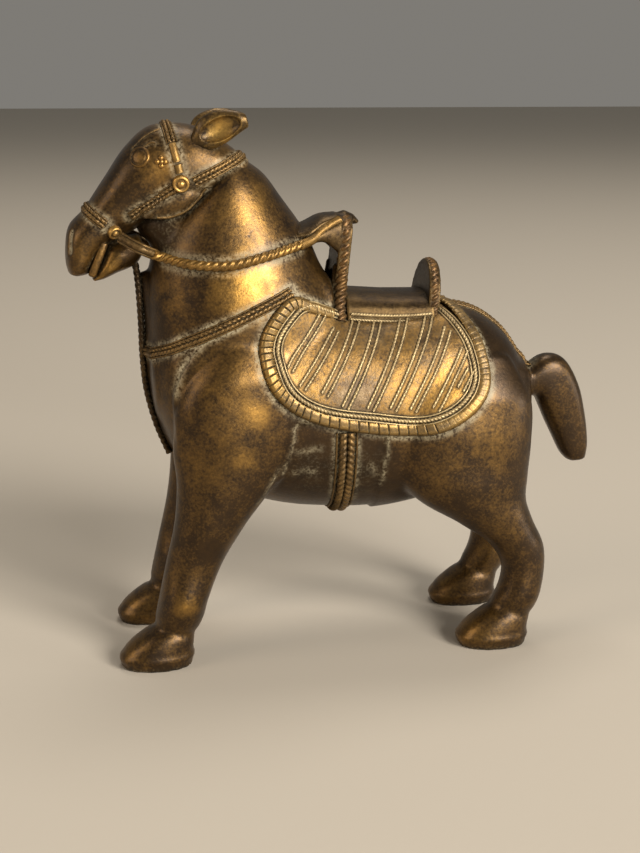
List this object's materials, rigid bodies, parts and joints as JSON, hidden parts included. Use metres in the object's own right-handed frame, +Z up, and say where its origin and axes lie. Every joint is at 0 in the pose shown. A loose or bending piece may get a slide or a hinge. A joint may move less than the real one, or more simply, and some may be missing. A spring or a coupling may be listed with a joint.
{
  "type": "bronze horse figurine",
  "caption": "Solid cast bronze figurine of a standing horse with saddle, fringed saddle cloth, bridle and twisted reins; free-standing ornament.",
  "frame": {"origin": "middle of the bounding box at the level of the soles", "axes": "+Z up, the horse faces -X, its left side is -Y"},
  "size_m": [0.1257, 0.0468, 0.1269],
  "materials": {
    "bronze_dark": "dark brown patina, half gloss",
    "bronze_brown": "brown patina, half gloss",
    "bronze_worn": "golden where handling has worn the patina"
  },
  "bodies": {
    "root": {"barrel": "bronze_brown", "neck": "bronze_worn", "head": "bronze_dark", "lower_jaw": "bronze_brown", "left_foreleg": "bronze_brown", "right_foreleg": "bronze_brown", "left_hindleg": "bronze_brown", "right_hindleg": "bronze_brown", "left_fore_hoof": "bronze_brown", "right_fore_hoof": "bronze_brown", "left_hind_hoof": "bronze_brown", "right_hind_hoof": "bronze_brown", "tail": "bronze_dark", "saddle_cloth": "bronze_worn", "cloth_border": "bronze_brown", "pommel": "bronze_dark", "cantle": "bronze_brown", "saddle_seat": "bronze_dark", "girth": "bronze_worn", "crupper": "bronze_brown", "martingale": "bronze_dark", "left_breast_collar": "bronze_worn", "right_breast_collar": "bronze_worn", "left_cheek_boss": "bronze_worn", "right_cheek_boss": "bronze_worn", "left_bit_boss": "bronze_worn", "right_bit_boss": "bronze_worn", "left_eye": "bronze_worn", "right_eye": "bronze_worn", "left_ear": "bronze_brown", "right_ear": "bronze_brown", "brow_strap": "bronze_brown", "headstall": "bronze_brown", "noseband": "bronze_brown", "left_cheek_strap": "bronze_brown", "right_cheek_strap": "bronze_brown", "left_rein": "bronze_worn", "right_rein": "bronze_worn"}
  },
  "joints": []
}
